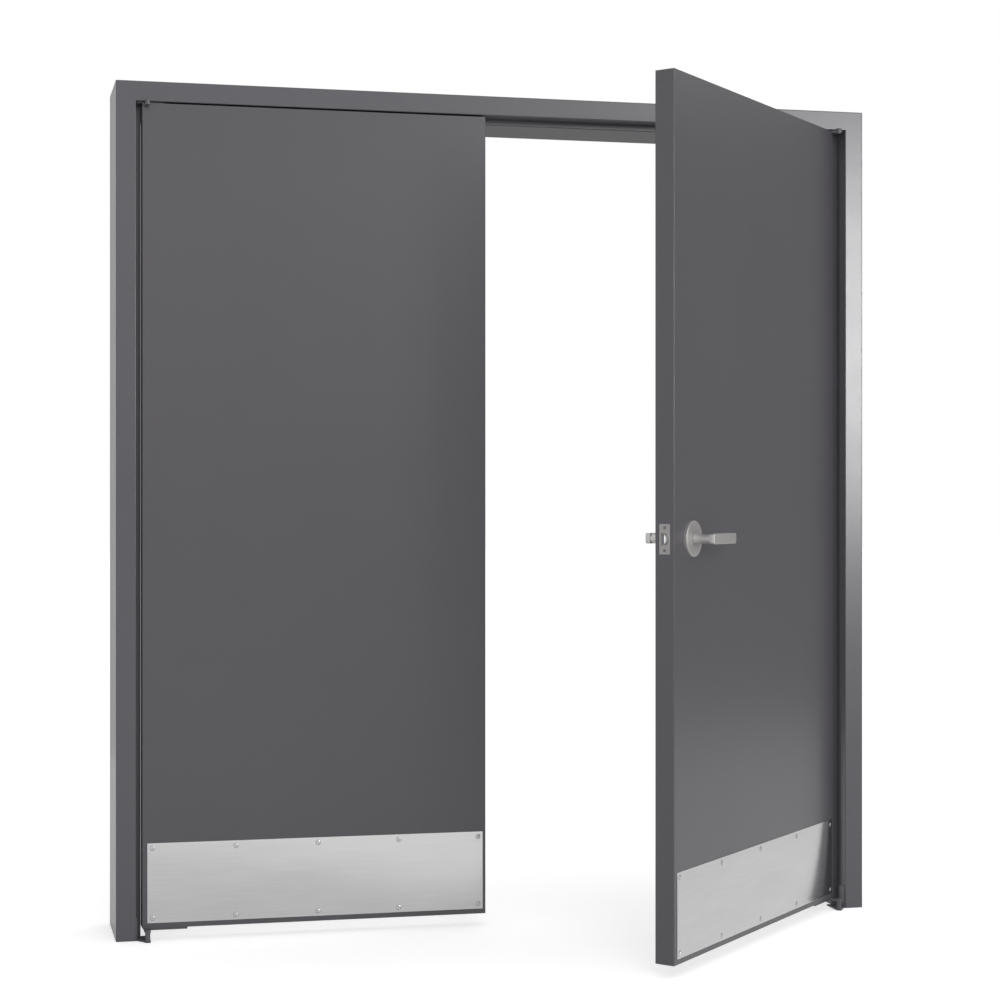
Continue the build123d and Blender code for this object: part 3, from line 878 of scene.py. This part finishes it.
class DOOR_OT_pivot_screws(bpy.types.Operator):
    """Screws the pivots' floor brackets to the jambs and their head brackets to the head"""
    bl_idname = "door.pivot_screws"
    bl_label = "Pivot screws"

    def execute(self, context):
        sizes = context.scene.door_fasteners
        steel = context.scene.door_steel
        finish = screw_metal("pivot_screw_steel", steel.screw_colour, PIVOT_SCREW_ROUGHNESS)
        for side, out in (("left", 1), ("right", -1)):
            screws(f"{side}_floor_bracket_screws", *floor_bracket_heads(side, out, sizes), finish, "frame")
            screws(f"{side}_head_bracket_screws", *head_bracket_heads(side, sizes), finish, "frame")
        return {"FINISHED"}


# Stage

def by_ray(tree, light, camera, gloss):
    """One number for rays that only carry light, one for the camera's and one for gloss and glass:
    the first, plus the difference to each of the others times that ray's own flag."""
    rays = tree.nodes.new("ShaderNodeLightPath")
    total = None
    for kind, value in (("Is Camera Ray", camera), ("Is Glossy Ray", gloss), ("Is Transmission Ray", gloss)):
        step = tree.nodes.new("ShaderNodeMath")
        step.operation = "MULTIPLY_ADD"
        step.inputs[1].default_value = value - light
        step.inputs[2].default_value = light
        tree.links.new(rays.outputs[kind], step.inputs[0])
        if total:
            tree.links.new(total, step.inputs[2])
        total = step.outputs[0]
    return total


def floor_material(settings):
    """A pale matt floor that glows a little where the camera or a gloss sees it, so that it reads
    as white and keeps the door's shadow."""
    material, tree, surface = shader("pale_floor")
    surface.inputs["Base Color"].default_value = (*settings.floor_colour, 1)
    surface.inputs["Roughness"].default_value = FLOOR_ROUGHNESS
    surface.inputs["Specular IOR Level"].default_value = FLOOR_SPECULAR
    surface.inputs["Emission Color"].default_value = WHITE
    glow = by_ray(tree, 0.0, settings.floor_glow, settings.floor_sheen)
    tree.links.new(glow, surface.inputs["Emission Strength"])
    return material


def white_world(left, right):
    """A world that is white to the camera, gloss and glass. As light it is dimmer, and its strength
    runs evenly from left to right with the x of the ray's direction."""
    world = bpy.data.worlds.new("white")
    world.use_nodes = True
    tree = world.node_tree
    background = tree.nodes["Background"]
    background.inputs["Color"].default_value = WHITE
    split = tree.nodes.new("ShaderNodeSeparateXYZ")
    tree.links.new(add(tree, "ShaderNodeTexCoord").outputs["Generated"], split.inputs[0])
    ambient = add(tree, "ShaderNodeMapRange", from_min=-1.0, to_min=left, to_max=right)
    tree.links.new(split.outputs["X"], ambient.inputs["Value"])
    strength = add(tree, "ShaderNodeMapRange")
    tree.links.new(by_ray(tree, 0.0, 1.0, 1.0), strength.inputs["Value"])
    tree.links.new(ambient.outputs["Result"], strength.inputs["To Min"])
    tree.links.new(strength.outputs["Result"], background.inputs["Strength"])
    return world


def four_cornered(name, corners, finish):
    """One flat face between four corners, linked to the scene."""
    mesh = bpy.data.meshes.new(name)
    mesh.from_pydata(corners, [], [(0, 1, 2, 3)])
    mesh.materials.append(finish)
    thing = bpy.data.objects.new(name, mesh)
    bpy.context.scene.collection.objects.link(thing)
    return thing


def set_floor(stage):
    """A level floor that reaches far beyond the door on every side."""
    reach = FLOOR_REACH
    corners = [(-reach, -reach, 0), (reach, -reach, 0), (reach, reach, 0), (-reach, reach, 0)]
    floor = four_cornered("floor", corners, floor_material(stage))
    floor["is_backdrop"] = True


def flat_material(name, shade):
    """A grey that shines evenly, so that a flat looks alike from everywhere."""
    material, _, surface = shader(name)
    surface.inputs["Base Color"].default_value = BLACK
    surface.inputs["Specular IOR Level"].default_value = 0.0
    surface.inputs["Emission Color"].default_value = WHITE
    surface.inputs["Emission Strength"].default_value = shade
    return material


def set_flats(stage):
    """Upright backdrops behind the door and on its right. They only mirror in the door: they are not
    seen, light nothing matt and throw no shadow."""
    pale = flat_material("pale_flat", stage.left_flat)
    grey = flat_material("grey_flat", stage.right_flat)
    dark = flat_material("dark_flat", stage.dark_flat)
    finishes = (pale, dark, grey, grey)
    for name, start, end, finish in zip(FLAT_NAMES, FLAT_PLACES, FLAT_PLACES[1:], finishes):
        corners = [(*start, FLAT_FOOT), (*end, FLAT_FOOT), (*end, FLAT_TOP), (*start, FLAT_TOP)]
        thing = four_cornered(name, corners, finish)
        thing.visible_camera = False
        thing.visible_diffuse = False
        thing.visible_shadow = False
        thing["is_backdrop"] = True


def softbox(name, power, place, target, size):
    """A rectangular lamp turned towards a point."""
    lamp = bpy.data.lights.new(name, "AREA")
    lamp.shape = "RECTANGLE"
    lamp.size, lamp.size_y = size
    lamp.energy = power
    thing = bpy.data.objects.new(name, lamp)
    thing.location = place
    thing.rotation_euler = (Vector(target) - Vector(place)).to_track_quat("-Z", "Y").to_euler()
    thing.visible_camera = False
    bpy.context.scene.collection.objects.link(thing)
    return thing


def set_lamps(stage):
    """A soft front lamp that makes no gloss, and two softboxes on the right that only make gloss."""
    low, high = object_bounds()
    key = softbox("front_key", stage.key_power, stage.key_place, (low + high) / 2, KEY_SIZE)
    key.visible_glossy = False
    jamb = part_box("right_jamb")[0]
    target = (jamb.x, jamb.y, SIDE_AIM_HEIGHT)
    side = softbox("right_softbox", stage.softbox_power, stage.softbox_place, target, SIDE_SIZE)
    side.visible_diffuse = False
    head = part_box("frame_head")[0]
    target = (HIGH_AIM_X, head.y, head.z)
    high_side = softbox("high_softbox", stage.high_power, stage.high_place, target, HIGH_SIZE)
    high_side.visible_diffuse = False


def set_camera(stage):
    """A level camera at the photo's viewing angle."""
    camera = bpy.data.objects.new("camera", bpy.data.cameras.new("camera"))
    camera.location = stage.camera_place
    camera.rotation_euler = (math.pi / 2, 0, stage.camera_turn)
    camera.data.lens = stage.lens
    camera.data.sensor_width = SENSOR_WIDTH
    camera.data.shift_x = stage.shift_x
    camera.data.shift_y = stage.shift_y
    camera.data.clip_end = VIEW_END
    bpy.context.scene.collection.objects.link(camera)
    bpy.context.scene.camera = camera


class DOOR_OT_stage(bpy.types.Operator):
    """Sets the floor, the world, the flats, the lamps and the camera"""
    bl_idname = "door.stage"
    bl_label = "Stage"

    def execute(self, context):
        stage = context.scene.door_stage
        set_floor(stage)
        context.scene.world = white_world(stage.ambient_left, stage.ambient_right)
        set_flats(stage)
        set_lamps(stage)
        set_camera(stage)
        context.scene.view_settings.view_transform = "Standard"
        return {"FINISHED"}


OPERATORS = (
    DOOR_OT_paint,
    DOOR_OT_kick_plates,
    DOOR_OT_kick_screws,
    DOOR_OT_roses,
    DOOR_OT_levers,
    DOOR_OT_latch,
    DOOR_OT_pivot_screws,
    DOOR_OT_stage,
)
SETTINGS = {
    "door_paint": DOOR_paint,
    "door_steel": DOOR_steel,
    "door_fasteners": DOOR_fasteners,
    "door_trim": DOOR_trim,
    "door_stage": DOOR_stage,
}


class DOOR_PT_panel(bpy.types.Panel):
    """Lists the door's settings, then the operators that make and finish its pieces"""
    bl_label = "Double door"
    bl_idname = "DOOR_PT_panel"
    bl_space_type = "VIEW_3D"
    bl_region_type = "UI"
    bl_category = "Door"

    def draw(self, context):
        for name, group in SETTINGS.items():
            box = self.layout.box()
            for key in group.__annotations__:
                box.prop(getattr(context.scene, name), key)
        for operator in OPERATORS:
            self.layout.operator(operator.bl_idname)


CLASSES = (*SETTINGS.values(), *OPERATORS, DOOR_PT_panel)


def register():
    """Registers the classes and gives the scene its settings."""
    for cls in CLASSES:
        bpy.utils.register_class(cls)
    for name, group in SETTINGS.items():
        setattr(bpy.types.Scene, name, PointerProperty(type=group))


def unregister():
    """Takes the settings from the scene and unregisters the classes."""
    for name in SETTINGS:
        delattr(bpy.types.Scene, name)
    for cls in reversed(CLASSES):
        bpy.utils.unregister_class(cls)


def main():
    """Makes the door's pieces and stage in order."""
    register()
    bpy.ops.door.paint()
    bpy.ops.door.kick_plates()
    bpy.ops.door.kick_screws()
    bpy.ops.door.roses()
    bpy.ops.door.levers()
    bpy.ops.door.latch()
    bpy.ops.door.pivot_screws()
    bpy.ops.door.stage()


if __name__ == "__main__":
    main()
